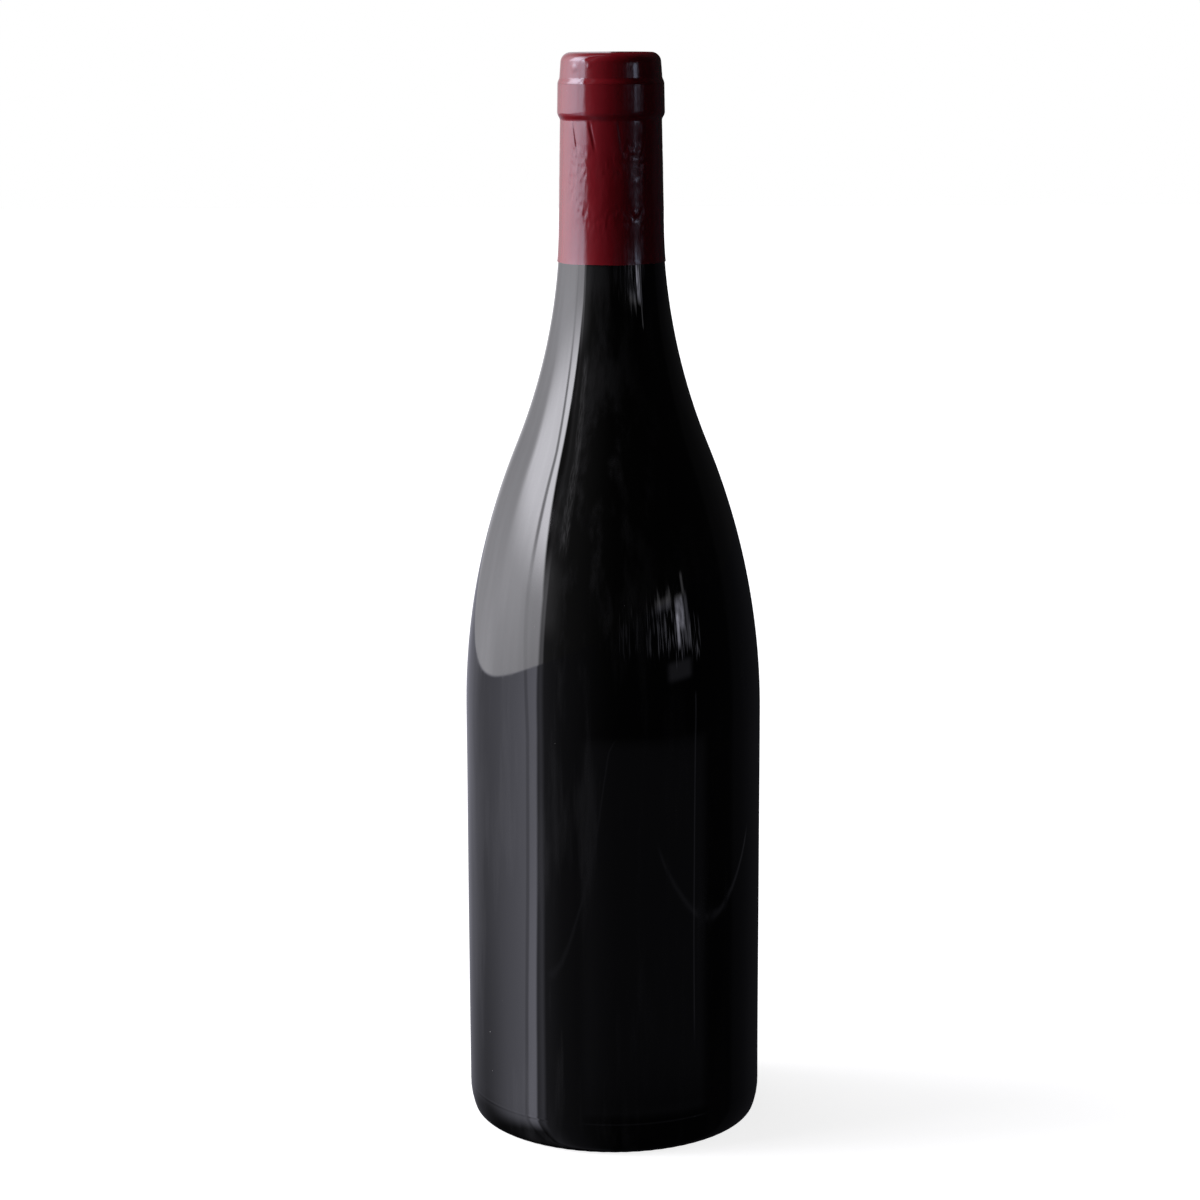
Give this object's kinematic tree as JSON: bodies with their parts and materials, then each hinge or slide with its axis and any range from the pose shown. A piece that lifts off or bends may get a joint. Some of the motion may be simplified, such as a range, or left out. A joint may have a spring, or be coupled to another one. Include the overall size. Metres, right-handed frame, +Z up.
{
  "type": "wine bottle",
  "caption": "Shut wine bottle of dark glass with sloping shoulders, a punt underneath and a dark red foil capsule over the lip and neck.",
  "frame": {"origin": "centre of the standing ring's plane, on the bottle's axis", "axes": "+Z up the bottle's axis from the base to the capsule; the bottle is round, and the rest view looks along +Y with +X to the right"},
  "size_m": [0.082, 0.082, 0.2962],
  "materials": {
    "dark_glass": "smooth gloss, so dark that it reads as black",
    "capsule_foil": "glossy dark red lacquer over thin foil"
  },
  "bodies": {
    "root": {"bottle": "dark_glass", "capsule": "capsule_foil"}
  },
  "joints": []
}
